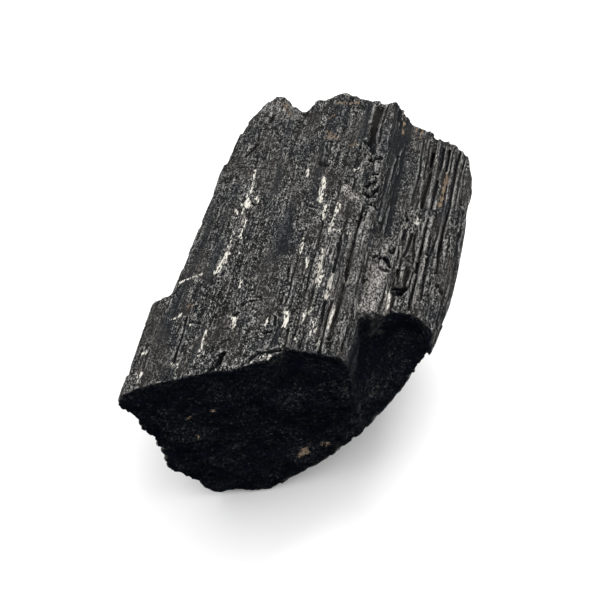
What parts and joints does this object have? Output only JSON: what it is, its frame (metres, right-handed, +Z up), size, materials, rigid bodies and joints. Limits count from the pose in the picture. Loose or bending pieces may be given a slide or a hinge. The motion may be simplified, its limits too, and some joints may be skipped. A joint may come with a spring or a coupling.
{
  "type": "raw black tourmaline crystal",
  "caption": "Broken length of a striated black prism crystal, resting on its worn underside with its long axis leaning up.",
  "frame": {"origin": "middle of the bounding box's footprint, on the surface that the crystal rests on", "axes": "+Z up, +Y along the crystal's growth axis seen from above, from the low broken end to the high one, +X to the side with the lower shelf of columns"},
  "size_m": [0.0556, 0.0814, 0.0565],
  "materials": {
    "schorl": "rough black stone with a dull glassy glint, with pale mica and feldspar flecks and faint iron stains"
  },
  "bodies": {
    "root": {"tourmaline": "schorl"}
  },
  "joints": []
}
